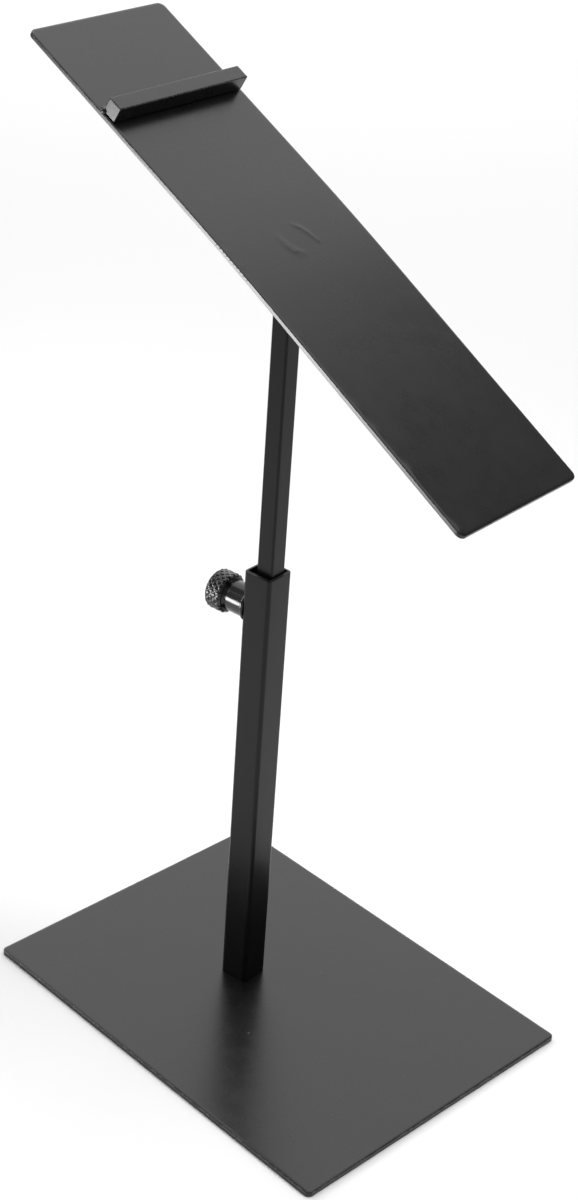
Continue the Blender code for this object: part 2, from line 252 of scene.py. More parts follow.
def square_tube(side, wall, corner, low, high, rounding, lip=0.0):
    """A square tube with round corners, open at both ends. A lip stands along its upper bore."""
    half_wall = wall / 2
    edge = min(rounding, half_wall)
    fine = min(edge, 0.12 * MM)
    ridge = []
    if lip:
        foot = 0.55 * wall
        ridge = [(foot, high - lip, fine, fine), (foot + lip, high, fine, fine)]
        edge = fine
    profile = softened(
        [
            (half_wall, low, 0, 0),
            (0, low, edge, edge),
            (0, high - lip, rounding, edge),
            *ridge,
            (wall, high, edge, edge),
            (wall, low, edge, edge),
            (half_wall, low, 0, 0),
        ]
    )[:-1]
    rings = []
    for inset, height in profile:
        outline = rounded_rectangle(side - 2 * inset, side - 2 * inset, max(corner - inset, 0.3 * MM))
        rings.append([(x, y, height) for x, y in outline])
    return loft(rings, ends="loop")


def slice_across(bm, axis, places):
    """Cuts a mesh along planes across one axis, so that it can bend or carry relief there."""
    for place in places:
        everything = list(bm.verts) + list(bm.edges) + list(bm.faces)
        normal = Vector((0.0, 0.0, 0.0))
        normal[axis] = 1.0
        bmesh.ops.bisect_plane(bm, geom=everything, plane_co=normal * place, plane_no=normal)


def spread(low, high, step):
    """Evenly spaced places between two ends, about a step apart."""
    count = max(1, round((high - low) / step))
    return [low + (high - low) * index / count for index in range(1, count)]


def wobble(point, size, seed=0.0):
    """Smooth noise from -1 to 1 whose bumps are about the given size."""
    return noise.noise(Vector(point) / size + Vector((seed, 0.37 * seed, -seed)))


# ---- making pieces ------------------------------------------------------------------------------


def mark_edges(bm):
    """Writes how sharply each narrow face stands out to an attribute that the coats paint as a pale
    edge highlight.
    """
    layer = bm.faces.layers.float.new("edge")
    bm.normal_update()
    sharpness = {}
    for vertex in bm.verts:
        bends = [e.calc_face_angle_signed(0.0) for e in vertex.link_edges if e.is_manifold]
        bend = max(bends, default=0.0)
        sharpness[vertex] = min(1.0, max(0.0, (bend - EDGE_HIGHLIGHT_BEND) / EDGE_HIGHLIGHT_BEND_RANGE))
    for face in bm.faces:
        width = 2 * face.calc_area() / face.calc_perimeter()
        if width < EDGE_HIGHLIGHT_WIDTH:
            face[layer] = min(sharpness[vertex] for vertex in face.verts)


def piece(bm, name, place, body, material, stands_for=(), sharp=40):
    """Turns a mesh into a finished piece that rides on a body and stands for CAD nodes."""
    mark_edges(bm)
    mesh = bpy.data.meshes.new(name)
    bm.to_mesh(mesh)
    bm.free()
    mesh.shade_smooth()
    mesh.set_sharp_from_angle(angle=math.radians(sharp))
    mesh.materials.append(material)
    made = bpy.data.objects.new(name, mesh)
    bpy.context.scene.collection.objects.link(made)
    made.matrix_world = place
    normals = made.modifiers.new("even_normals", "WEIGHTED_NORMAL")
    normals.keep_sharp = True
    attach(made, body)
    if stands_for:
        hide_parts(*stands_for)
    return made


def carved(bm, cutter_bm):
    """A mesh with another cut out of it."""
    objects = []
    for source in (bm, cutter_bm):
        mesh = bpy.data.meshes.new("carving")
        source.to_mesh(mesh)
        source.free()
        made = bpy.data.objects.new("carving", mesh)
        bpy.context.scene.collection.objects.link(made)
        objects.append(made)
    whole, cutter = objects
    boolean = whole.modifiers.new("cut", "BOOLEAN")
    boolean.operation = "DIFFERENCE"
    boolean.object = cutter
    bpy.context.view_layer.update()
    depsgraph = bpy.context.evaluated_depsgraph_get()
    result = bpy.data.meshes.new_from_object(whole.evaluated_get(depsgraph))
    for made in objects:
        bpy.data.objects.remove(made)
    out = bmesh.new()
    out.from_mesh(result)
    return out


# ---- materials ----------------------------------------------------------------------------------


class Finish:
    """A Principled material whose sockets are fed by noise in the piece's own coordinates."""

    def __init__(self, name):
        self.material = bpy.data.materials.new(name)
        self.material.use_nodes = True
        self.tree = self.material.node_tree
        self.shader = self.tree.nodes["Principled BSDF"]
        self.place = self.tree.nodes.new("ShaderNodeTexCoord").outputs["Object"]

    def feed(self, socket, value):
        if isinstance(value, bpy.types.NodeSocket):
            self.tree.links.new(value, socket)
        else:
            socket.default_value = value

    def stretched(self, scale):
        node = self.tree.nodes.new("ShaderNodeMapping")
        self.feed(node.inputs["Vector"], self.place)
        node.inputs["Scale"].default_value = scale
        return node.outputs["Vector"]

    def noise(self, size, detail=2.0, where=None):
        """Noise from 0 to 1 whose bumps are about the given size in metres."""
        node = self.tree.nodes.new("ShaderNodeTexNoise")
        self.feed(node.inputs["Vector"], where or self.place)
        node.inputs["Scale"].default_value = 1.0 / size
        node.inputs["Detail"].default_value = detail
        return node.outputs["Fac"]

    def specks(self, size, where=None):
        """Distance to the nearest of many scattered points, in cells of the given size."""
        node = self.tree.nodes.new("ShaderNodeTexVoronoi")
        self.feed(node.inputs["Vector"], where or self.place)
        node.inputs["Scale"].default_value = 1.0 / size
        return node.outputs["Distance"]

    def ranged(self, value, low, high, to_low, to_high):
        node = self.tree.nodes.new("ShaderNodeMapRange")
        for name, number in (
            ("Value", value),
            ("From Min", low),
            ("From Max", high),
            ("To Min", to_low),
            ("To Max", to_high),
        ):
            self.feed(node.inputs[name], number)
        return node.outputs["Result"]

    def maths(self, operation, first, second):
        node = self.tree.nodes.new("ShaderNodeMath")
        node.operation = operation
        self.feed(node.inputs[0], first)
        self.feed(node.inputs[1], second)
        return node.outputs[0]

    def blended(self, factor, first, second):
        node = self.tree.nodes.new("ShaderNodeMix")
        node.data_type = "RGBA"
        self.feed(node.inputs["Factor"], factor)
        self.feed(node.inputs[6], first)
        self.feed(node.inputs[7], second)
        return node.outputs[2]

    def attribute(self, name):
        node = self.tree.nodes.new("ShaderNodeAttribute")
        node.attribute_name = name
        return node.outputs["Fac"]

    def bumped(self, height, depth, under=None):
        """A normal with relief of the given depth in metres, on top of another's."""
        node = self.tree.nodes.new("ShaderNodeBump")
        node.inputs["Distance"].default_value = depth
        self.feed(node.inputs["Height"], height)
        if under is not None:
            self.feed(node.inputs["Normal"], under)
        return node.outputs["Normal"]


def grey(level, warmth=0.0):
    return (level * (1 + warmth), level, level * (1 - warmth), 1.0)


BROAD_SHADE_SIZE = 45 * MM
MOTTLE_SIZE = 7 * MM
EDGE_HIGHLIGHT_PATCH_SIZE = 1.6 * MM
PAINTED_EDGE_HIGHLIGHT = 0.6  # how far a sharp edge's painted highlight goes from the coat's colour to the highlight grey
EDGE_HIGHLIGHT_POLISH = 0.08
DUST_SPACING = 2.6 * MM
DUST_ROUGHNESS = 0.02
PEEL_SIZE = 1.3 * MM
GRAIN_SIZE = 0.35 * MM


def coat_finish(name, dark, light, edge_highlight_grey, rough_low, rough_high, peel, grain, specular=0.5):
    """A sprayed black coat: faint mottling, orange peel and grain, with a painted highlight (paler
    colour, less roughness) where edges stand out.
    """
    finish = Finish(name)
    broad = finish.noise(BROAD_SHADE_SIZE, 1.0)
    mottle = finish.noise(MOTTLE_SIZE, 3.0)
    shade = finish.maths(
        "ADD", finish.maths("MULTIPLY", broad, 0.5), finish.maths("MULTIPLY", mottle, 0.5)
    )
    colour = finish.blended(finish.ranged(shade, 0.3, 0.7, 0.0, 1.0), grey(dark), grey(light, -0.01))
    # Painted highlight: narrow sharp edges are paled towards a lighter grey in patches, standing in for
    # the glints along the coat's rounded edges; the same mask also lowers the roughness there.
    patchy = finish.ranged(finish.noise(EDGE_HIGHLIGHT_PATCH_SIZE, 3.0), 0.42, 0.62, 0.0, 1.0)
    painted_edge_highlight = finish.maths("MULTIPLY", finish.attribute("edge"), patchy)
    finish.feed(
        finish.shader.inputs["Base Color"],
        finish.blended(finish.maths("MULTIPLY", painted_edge_highlight, PAINTED_EDGE_HIGHLIGHT), colour, grey(edge_highlight_grey)),
    )
    rough = finish.ranged(shade, 0.3, 0.7, rough_low, rough_high)
    dusty = finish.ranged(finish.specks(DUST_SPACING), 0.06, 0.0, 0.0, DUST_ROUGHNESS)
    rough = finish.maths("ADD", rough, dusty)
    rough = finish.maths("SUBTRACT", rough, finish.maths("MULTIPLY", painted_edge_highlight, EDGE_HIGHLIGHT_POLISH))
    finish.feed(finish.shader.inputs["Roughness"], rough)
    finish.shader.inputs["Specular IOR Level"].default_value = specular
    normal = finish.bumped(finish.noise(PEEL_SIZE, 1.0), peel)
    if grain:
        normal = finish.bumped(finish.noise(GRAIN_SIZE, 2.0), grain, normal)
    finish.feed(finish.shader.inputs["Normal"], normal)
    return finish.material


def steel_finish(name):
    """Turned zinc-plated steel: fine lines round the axis, dull patches and a darker tint."""
    finish = Finish(name)
    patches = finish.noise(2.5 * MM, 4.0)
    tint = finish.ranged(patches, 0.35, 0.65, 0.0, 1.0)
    colour = finish.blended(tint, grey(0.30, 0.02), grey(0.46, 0.01))
    finish.feed(finish.shader.inputs["Base Color"], colour)
    finish.shader.inputs["Metallic"].default_value = 1.0
    lines = finish.noise(1.2 * MM, 2.0, finish.stretched((1.0, 1.0, 30.0)))
    finish.feed(finish.shader.inputs["Roughness"], finish.ranged(patches, 0.3, 0.7, 0.28, 0.45))
    finish.feed(finish.shader.inputs["Normal"], finish.bumped(lines, 0.006 * MM))
    return finish.material


# Each coat: its darkest and lightest grey, the grey of its painted edge highlight, its least and most
# roughness, the depth of its orange peel and grain, and its specular level.
PLATE_COAT = coat_finish("plate_coat", 0.005, 0.009, 0.22, 0.25, 0.31, 0.0022 * MM, 0.0)
TUBE_COAT = coat_finish("tube_coat", 0.005, 0.008, 0.35, 0.27, 0.35, 0.004 * MM, 0.001 * MM, 0.27)
KNOB_COAT = coat_finish("knob_coat", 0.006, 0.011, 0.05, 0.11, 0.19, 0.020 * MM, 0.002 * MM)
BARE_STEEL = steel_finish("bare_steel")

# ---- the base -----------------------------------------------------------------------------------


def countersink(depth, mouth, bore):
    """A cutter for the screw's seat, with its mouth at height 0 and opening downwards."""
    past = 1 * MM
    profile = [
        (0, -past),
        (mouth, -past),
        (mouth, 0),
        (bore, mouth - bore),
        (bore, depth + past),
        (0, depth + past),
    ]
    return turned(profile, 64)


def make_base_plate():
    place, size = centred("base_plate", axes(facing("base_plate", RIGHT), UP))
    plate = sheet(size, BASE_CORNER)
    screw_low, screw_high = measured("base_screw", place)
    head = (screw_high.x - screw_low.x) / 2
    seat = countersink(size.z, head + BASE_SCREW_CLEARANCE, BASE_SCREW_HOLE)
    middle = (screw_low + screw_high) / 2
    bmesh.ops.translate(seat, verts=seat.verts, vec=(middle.x, middle.y, -size.z / 2))
    piece(
        carved(plate, seat), "base_plate_coated", place, "stand", PLATE_COAT, ["base_plate"]
    )
    make_nibs("base_coat_nibs", BASE_NIBS, place @ Matrix.Translation((0, 0, size.z / 2)), "stand")


BASE_NIBS = (  # specks under the coat: place on the plate from its middle, and radius
    (-36.7 * MM, -73.6 * MM, 0.50 * MM),
    (4.1 * MM, -76.4 * MM, 0.42 * MM),
    (25.1 * MM, -4.2 * MM, 0.55 * MM),
    (-57.6 * MM, -71.5 * MM, 0.45 * MM),
    (-37.1 * MM, 10.3 * MM, 0.40 * MM),
    (-28.0 * MM, -13.4 * MM, 0.42 * MM),
    (63.0 * MM, -42.0 * MM, 0.38 * MM),
)


def make_nibs(name, nibs, place, body):
    """Small domes that the coat makes over specks of dust, each with a soft skirt."""
    whole = bmesh.new()
    for number, (x, y, radius) in enumerate(nibs):
        height = 0.30 * radius
        sunk = 0.04 * radius
        profile = [(0.0, -sunk)]
        for share in (1.0, 0.8, 0.62, 0.46, 0.32, 0.2, 0.1, 0.0):
            across = 2.2 * radius * share
            profile.append((across, height * math.exp(-((across / radius) ** 2)) - 0.9 * sunk))
        dome = turned(profile, 20)
        for vertex in dome.verts:
            vertex.co.x *= 1 + 0.2 * wobble((number, 0, 0), 1.0, 3.1)
            vertex.co += Vector((x, y, 0.0))
        mesh = bpy.data.meshes.new("nib")
        dome.to_mesh(mesh)
        dome.free()
        whole.from_mesh(mesh)
        bpy.data.meshes.remove(mesh)
    piece(whole, name, place, body, PLATE_COAT)


def make_base_screw():
    """The countersunk screw, seen from underneath, with its hexagon socket."""
    low, high = measured("base_screw", HOME)
    place = Matrix.Translation(((low.x + high.x) / 2, (low.y + high.y) / 2, low.z))
    head = (high.x - low.x) / 2
    shank = 2.0 * MM
    key = 1.44 * MM
    depth = 1.3 * MM
    steps = 72
    soft = 0.1 * MM
    rings = [[(x, y, depth) for x, y in hexagon(key * 0.9, steps)]]
    rings.append([(x, y, depth - soft) for x, y in hexagon(key, steps)])
    rings.append([(x, y, soft) for x, y in hexagon(key, steps)])
    rings.append([(x, y, 0) for x, y in hexagon(key + soft, steps)])
    outside = softened(
        [
            (key + 0.4 * MM, 0, 0, 0),
            (head, 0, 2 * soft, soft),
            (shank, head - shank, soft, soft),
            (shank, high.z - low.z, 0, 0),
        ]
    )
    for radius, height in outside:
        rings.append([(x, y, height) for x, y in circle(radius, steps)])
    piece(
        loft(rings), "base_screw_socketed", place, "stand", BARE_STEEL, ["base_screw"], 30
    )


# ---- the post -----------------------------------------------------------------------------------


def tube_place(node):
    low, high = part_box(node)
    middle = (low + high) / 2
    return Matrix.Translation((middle.x, middle.y, 0.0)) @ POST_TURN.to_4x4()


def wall_of(node, place, height):
    """Thickness of a tube's front wall at a height, found with two rays from its axis."""
    tree = solid(node, place)
    forward = Vector((0.0, -1.0, 0.0))
    inner = tree.ray_cast(Vector((0.0, 0.0, height)), forward)[0]
    outer = tree.ray_cast(inner + forward * 0.01 * MM, forward)[0]
    return inner.y - outer.y


def make_outer_tube():
    """The lower post, with the stud's hole. The plug in its foot keeps its CAD shape, in bare steel."""
    place = tube_place("outer_tube")
    low, high = measured("outer_tube", place)
    side = high.x - low.x
    wall = wall_of("outer_tube", place, (low.z + high.z) / 3)
    tube = square_tube(side, wall, TUBE_CORNER, low.z, high.z, RIM_ROUNDING, RIM_LIP)
    slice_across(tube, 2, spread(low.z, high.z, TUBE_SLICE))
    hole = turned([(0, -2 * wall), (STUD_BORE, -2 * wall), (STUD_BORE, wall), (0, wall)], 48)
    bmesh.ops.transform(hole, verts=hole.verts, matrix=place.inverted() @ SCREW_PLACE)
    piece(
        carved(tube, hole), "outer_tube_coated", place, "stand", TUBE_COAT, ["outer_tube"]
    )
    plug = frame["nodes"]["foot_plug"]
    plug.data.materials.clear()
    plug.data.materials.append(BARE_STEEL)


def make_inner_tube():
    """The upper post. Its top end is cut to the slope of the tray."""
    place = tube_place("inner_tube")
    low, high = measured("inner_tube", place)
    side = high.x - low.x
    wall = wall_of("inner_tube", place, (low.z + high.z) / 2)
    tube = square_tube(side, wall, INNER_TUBE_CORNER, low.z, high.z, INNER_TUBE_ROUNDING)
    slice_across(tube, 2, spread(low.z, high.z, TUBE_SLICE))
    tray = solid("tray_plate", place)
    top_zone = high.z - 1.0 * MM
    for vertex in tube.verts:
        if vertex.co.z > top_zone:
            start = Vector((vertex.co.x, vertex.co.y, low.z))
            underside = tray.ray_cast(start, UP)[0]
            vertex.co.z = underside.z - 0.05 * MM
    piece(tube, "inner_tube_coated", place, "mast", TUBE_COAT, ["inner_tube"])


def bead(path, radius, lump, seed, sides=12):
    """A closed weld bead along a path, with the scallops that the weld pool leaves."""
    count = len(path)
    centre = sum((Vector(point) for point in path), Vector()) / count
    rings = []
    for index, point in enumerate(path):
        here = Vector(point)
        along = (Vector(path[(index + 1) % count]) - Vector(path[index - 1])).normalized()
        out = (here - centre).normalized()
        side = along.cross(out).normalized()
        scallop = 0.10 * abs(math.sin(math.pi * 14 * index / count))
        swell = radius * (1 + lump * wobble(point, 4 * MM, seed) + scallop)
        ring = []
        for turn in range(sides):
            angle = math.tau * turn / sides
            ring.append(here + swell * (math.cos(angle) * out + math.sin(angle) * side))
        rings.append(ring)
    bm = loft(rings, ends="loop")
    bmesh.ops.recalc_face_normals(bm, faces=bm.faces)
    return bm


def drop(centre, radii, seed, rough=0.12):
    """A lump of weld metal."""
    bm = bmesh.new()
    bmesh.ops.create_icosphere(bm, subdivisions=4, radius=1.0)
    for vertex in bm.verts:
        swell = 1 + rough * wobble(vertex.co, 0.7, seed)
        vertex.co = Vector(centre) + Vector(radii) * vertex.co * swell
    return bm


def joined(*meshes):
    whole = bmesh.new()
    for source in meshes:
        mesh = bpy.data.meshes.new("part")
        source.to_mesh(mesh)
        source.free()
        whole.from_mesh(mesh)
        bpy.data.meshes.remove(mesh)
    return whole


BOSS_BLOBS = (  # lumps of the weld round the boss: centre, radii and seed
    ((-1.6 * MM, 6.9 * MM, 0.9 * MM), (1.3 * MM, 0.9 * MM, 1.1 * MM), 4.0),
    ((-6.7 * MM, 1.5 * MM, 0.8 * MM), (0.9 * MM, 1.6 * MM, 1.0 * MM), 5.0),
)


def make_boss():
    """The threaded barrel on the back of the post, and the weld bead round its foot."""
    low, high = measured("clamp_boss", SCREW_PLACE)
    radius = high.x
    seam = (radius - 1 * MM, low.z, 0, 0)  # where the profile's loop closes, under the foot
    corners = [
        seam,
        (radius, low.z, 0.2 * MM, 0.2 * MM),
        (radius, high.z, 0.45 * MM, 0.45 * MM),
        (STUD_BORE, high.z, 0.3 * MM, 0.3 * MM),
        (STUD_BORE, low.z, 0.2 * MM, 0.2 * MM),
        seam,
    ]
    profile = softened(corners)[:-1]
    rings = [[(x, y, height) for x, y in circle(across, 96)] for across, height in profile]
    piece(
        loft(rings, ends="loop"),
        "clamp_boss_coated",
        SCREW_PLACE,
        "stand",
        KNOB_COAT,
        ["clamp_boss"],
    )
    path = [(x, y, 0.35 * MM) for x, y in circle(radius + 0.1 * MM, 120)]
    ring = bead(path, 0.75 * MM, 0.45, 2.0)
    blobs = [drop(centre, radii, seed) for centre, radii, seed in BOSS_BLOBS]
    piece(
        joined(ring, *blobs),
        "boss_weld_bead",
        SCREW_PLACE,
        "stand",
        KNOB_COAT,
        ["boss_weld"],
    )


def make_stud():
    """The M6 stud: a helical V thread with chamfered ends."""
    low, high = measured("clamp_stud", SCREW_PLACE)
    radius = high.x
    around = 48
    per_turn = 12
    rows = int((high.z - low.z) / THREAD_PITCH * per_turn)
    rings = []
    for row in range(rows + 1):
        height = low.z + (high.z - low.z) * row / rows
        from_end = min(height - low.z, high.z - height)
        end_taper = min(1.0, from_end / THREAD_CHAMFER)
        ring = []
        for step in range(around):
            turn = step / around
            phase = (height / THREAD_PITCH - turn) % 1.0
            tooth = 1 - abs(2 * phase - 1)
            crest = min(1.0, max(0.0, (tooth - 0.1) / 0.75))
            across = radius - THREAD_DEPTH * (1 - crest)
            across = min(across, radius - THREAD_DEPTH * (1 - end_taper))
            angle = math.tau * turn
            ring.append((across * math.cos(angle), across * math.sin(angle), height))
        rings.append(ring)
    piece(
        loft(rings),
        "clamp_stud_threaded",
        SCREW_PLACE,
        "clamp_stud",
        BARE_STEEL,
        ["clamp_stud"],
        60,
    )


def knurl(angle, height):
    """Height from 0 to 1 of a diamond knurl with slightly filled valleys."""
    across = angle / math.tau * KNURL_COUNT
    along = height / KNURL_PITCH
    ridges = [1 - abs(2 * (phase % 1.0) - 1) for phase in (across + along, across - along)]
    return min(1.0, KNURL_FLAT * min(ridges))


def make_knob():
    """The knurled head with its neck, the groove turned in its inner face and the stud's bore."""
    low, high = measured("thumb_knob", SCREW_PLACE)
    radius = high.x
    tree = solid("thumb_knob", SCREW_PLACE)
    head_low = tree.ray_cast(Vector((0.8 * radius, 0.0, low.z)), UP)[0].z
    neck = tree.ray_cast(Vector((2 * radius, 0.0, low.z + 0.5 * MM)), -RIGHT)[0].x
    bore_end = high.z - 2.3 * MM
    fine = 0.1 * MM
    flared_neck = [
        (neck - 0.1 * MM, low.z, fine, fine),
        (neck + 0.35 * MM, low.z + 0.4 * MM, fine, fine),
        (neck + 0.35 * MM, low.z + 0.7 * MM, fine, fine),
        (neck + 1.1 * MM, head_low - 0.05 * MM, 0.2 * MM, fine),
    ]
    groove = [
        (neck + 1.2 * MM, head_low + 0.2 * MM, fine, fine),
        (neck + 1.5 * MM, head_low + 0.2 * MM, fine, fine),
        (neck + 1.6 * MM, head_low, fine, fine),
    ]
    profile = softened(
        [
            (0, bore_end, 0, 0),
            (STUD_BORE, bore_end, 0.1 * MM, 0.1 * MM),
            (STUD_BORE, low.z, 0.15 * MM, 0.15 * MM),
            *flared_neck,
            *groove,
            (radius - HEAD_CHAMFER, head_low, 0.2 * MM, 0.2 * MM),
            (radius, head_low + HEAD_CHAMFER, 0.15 * MM, 0.15 * MM),
            (radius, high.z - HEAD_CHAMFER, 0.25 * MM, 0.25 * MM),
            (radius - HEAD_CHAMFER, high.z, 0.35 * MM, 0.35 * MM),
            (0, high.z, 0, 0),
        ],
        steps=4,
    )
    knob = turned(profile, KNURL_COUNT * 12)
    slice_across(knob, 2, spread(head_low + HEAD_CHAMFER, high.z - HEAD_CHAMFER, KNURL_PITCH / 12))
    fade = 0.35 * MM
    for vertex in knob.verts:
        across = vertex.co.xy.length
        height = vertex.co.z
        room = min(height - head_low - HEAD_CHAMFER, high.z - HEAD_CHAMFER - height)
        if across > radius - 0.3 * MM and room > -fade:
            cut = KNURL_DEPTH * (1 - knurl(math.atan2(vertex.co.y, vertex.co.x), height))
            cut *= min(1.0, (room + fade) / fade)
            vertex.co.xy *= (across - cut) / across
    piece(
        knob, "thumb_knob_knurled", SCREW_PLACE, "thumb_knob", KNOB_COAT, ["thumb_knob"], 60
    )


# ---- the tray -----------------------------------------------------------------------------------

WELD_PRINT = (  # ridges raised by the weld underneath: start, middle and end, width and height
    ((5.3 * MM, 5.8 * MM), (8.6 * MM, 1.9 * MM), (10.7 * MM, -4.2 * MM), 1.1 * MM, 0.12 * MM),
    ((-5.6 * MM, 2.4 * MM), (-4.4 * MM, -3.6 * MM), (-1.0 * MM, -7.2 * MM), 1.8 * MM, 0.11 * MM),
)
PRINT_STEPS = [step / 24 for step in range(25)]
PRINT_LOW = (-10 * MM, -12 * MM)  # corners of the finer mesh that carries the print
PRINT_HIGH = (15 * MM, 10 * MM)
LUMP_INSET = 1.9 * MM  # how far in from the edge the drips run
LUMP_SPREAD = 0.8 * MM
EDGE_LUMPS = (  # drips of coat beside the tray's left edge: place from the post, length and height
    (-102.4 * MM, 7.0 * MM, 0.26 * MM),
    (-93.0 * MM, 4.0 * MM, 0.12 * MM),
    (-83.2 * MM, 5.0 * MM, 0.16 * MM),
    (-72.7 * MM, 4.0 * MM, 0.12 * MM),
    (-129.0 * MM, 5.0 * MM, 0.22 * MM),
)


def print_height(x, y):
    """Relief of the weld print at a point of the tray."""
    here = Vector((x + 0.35 * MM * wobble((x, y, 0), 2.2 * MM, 5.0), y))
    total = 0.0
    for start, middle, end, width, height in WELD_PRINT:
        first, last = Vector(start), Vector(end)
        bend = 2 * Vector(middle) - (first + last) / 2
        route = [first * (1 - t) ** 2 + bend * 2 * t * (1 - t) + last * t**2 for t in PRINT_STEPS]
        nearest, share = min(((here - point).length, t) for point, t in zip(route, PRINT_STEPS))
        fading = math.sin(math.pi * (0.12 + 0.76 * share)) ** 0.7
        uneven = 1 + 0.5 * wobble((x, y, 0), 2.5 * MM, 1.0)
        total += height * fading * uneven * math.exp(-((nearest / width) ** 2))
    return total


def edge_height(from_edge, y):
    """Relief beside the tray's left edge, where the coat has sagged into small lumps."""
    total = 0.05 * MM * wobble((0, y, 0), 3.5 * MM, 7.0)
    for place, length, height in EDGE_LUMPS:
        total += height * math.exp(-(((y - place) / (0.5 * length)) ** 2))
    return total * math.exp(-(((from_edge - LUMP_INSET) / LUMP_SPREAD) ** 2))


def make_tray():
    """The sloping plate. It follows the CAD plate's bend, read with rays along its length."""
    mast = tube_place("inner_tube")
    top = solid("tray_plate", HOME).ray_cast(mast.translation + UP, -UP)[0]
    place = Matrix.Translation(top) @ TRAY_TURN.to_4x4()
    low, high = measured("tray_plate", place)
    high.y -= TRAY_TRIM
    tree = solid("tray_plate", place)
    column = (low.x + high.x) / 2 + 0.25 * (high.x - low.x)
    stations = np.linspace(low.y + 4 * MM, high.y - 4 * MM, 64)
    tops = [tree.ray_cast(Vector((column, y, 0.1)), -UP)[0].z for y in stations]
    bottom = tree.ray_cast(Vector((column, 0.0, -0.1)), UP)[0].z
    thickness = float(np.interp(0.0, stations, tops)) - bottom
    ends = [np.polyfit(stations[side], tops[side], 1) for side in (slice(0, 16), slice(-16, None))]
    size = Vector((high.x - low.x, high.y - low.y, thickness))
    middle = Vector(((low.x + high.x) / 2, (low.y + high.y) / 2, -thickness / 2))

    plate = sheet(size, TRAY_CORNER, roll=TRAY_ROLL, drop=TRAY_DROP)
    bmesh.ops.translate(plate, verts=plate.verts, vec=middle)
    slice_across(plate, 1, spread(low.y, high.y, 2 * MM))
    for axis in (1, 0):
        slice_across(plate, axis, spread(PRINT_LOW[axis], PRINT_HIGH[axis], 0.5 * MM))
    slice_across(plate, 0, spread(low.x + 0.6 * MM, low.x + 4 * MM, 0.45 * MM))
    for vertex in plate.verts:
        x, y, z = vertex.co
        if z > -0.6 * thickness:
            vertex.co.z += print_height(x, y) + edge_height(x - low.x, y)
        if y < stations[0]:
            bend = np.polyval(ends[0], y)
        elif y > stations[-1]:
            bend = np.polyval(ends[1], y)
        else:
            bend = np.interp(y, stations, tops)
        vertex.co.z += float(bend)
    bmesh.ops.transform(plate, verts=plate.verts, matrix=place)
    piece(plate, "tray_plate_coated", HOME, "mast", PLATE_COAT, ["tray_plate"])


def make_tray_weld():
    """The bead round the top of the inner tube, under the tray."""
    place = tube_place("inner_tube")
    low, high = measured("inner_tube", place)
    half = (high.x - low.x) / 2
    tray = solid("tray_plate", place)
    path = []
    for x, y in rounded_rectangle(2 * half + 1.2 * MM, 2 * half + 1.2 * MM, 1.6 * MM, 12):
        underside = tray.ray_cast(Vector((x, y, low.z)), UP)[0]
        path.append((x, y, underside.z - 0.35 * MM))
    smooth = []
    for first, second in zip(path, path[1:] + path[:1]):
        start, end = Vector(first), Vector(second)
        pieces = max(1, round((end - start).length / (0.35 * MM)))
        smooth += [tuple(start.lerp(end, index / pieces)) for index in range(pieces)]
    ring = bead(smooth, 0.95 * MM, 0.4, 6.0)
    piece(ring, "tray_weld_bead", place, "mast", TUBE_COAT, ["tray_weld"])


# ---- the stop bar -------------------------------------------------------------------------------


def make_stop_bar():
    """The square bar across the tray, and the tack weld behind each of its ends."""
    place, size = centred("stop_bar", BAR_TURN)
    bar = sheet(size, BAR_ROUNDING, BAR_ROUNDING, BAR_ROUNDING, 2 * MM, 0.3 * MM)
    slice_across(bar, 0, spread(-size.x / 2, size.x / 2, BAR_SLICE))
    slice_across(bar, 2, spread(-size.z / 2, size.z / 2, BAR_SLICE))
    for vertex in bar.verts:
        away = 0.03 * MM * wobble(vertex.co, 3 * MM, 9.0)
        vertex.co.y += away
        vertex.co.z += away if vertex.co.z > 0 else 0.0
    piece(bar, "stop_bar_coated", place, "mast", PLATE_COAT, ["stop_bar"])
    for side, word in ((-1, "left"), (1, "right")):
        node = "stop_bar_weld_" + word
        low, high = measured(node, place)
        inner = Vector((side * (size.x / 2 - 1.2 * MM), size.y / 2 - 0.2 * MM, -size.z / 2 + 0.1 * MM))
        radii = (0.45 * (high.x - low.x), high.y - inner.y, high.z - inner.z)
        second = inner + Vector((-side * 1.6 * MM, 0.0, 0.0))
        smaller = [0.8 * radius for radius in radii]
        lumps = joined(drop(inner, radii, 11.0 + side), drop(second, smaller, 13.0 + side))
        piece(lumps, node + "_bead", place, "mast", PLATE_COAT, [node])


# ---- floor, light and camera --------------------------------------------------------------------


FLOOR_HALF = 8.0
FLOOR_SHADE = 0.93
WORLD_STRENGTH = 0.25
# Each softbox: its azimuth and elevation in degrees, distance, width and height in metres, its
# brightness and the angle in degrees that its light is kept to.
BACK_PANEL = (140, 30, 2.4, 3.6, 3.0, 1.4)
TOP_PANEL = (104, 77, 2.1, 2.0, 1.6, 2.0)
KEY_PANEL = (-145, 27, 1.6, 0.5, 0.6, 1.3, 70)
RIM_PANEL = (-123, -9, 0.64, 0.5, 0.2, 4.0, 80)
FLOOR_PANEL = (33, 60, 1.2, 0.5, 0.5, 1.0, 60)

CAMERA_AZIMUTH = -45.493
CAMERA_ELEVATION = 29.245
CAMERA_ROLL = 3.976
CAMERA_DISTANCE = 903.33 * MM
CAMERA_TARGET = Vector((5.0 * MM, 12.44 * MM, 194.91 * MM))
CAMERA_LENS = 66.59
CAMERA_SENSOR = 36.0


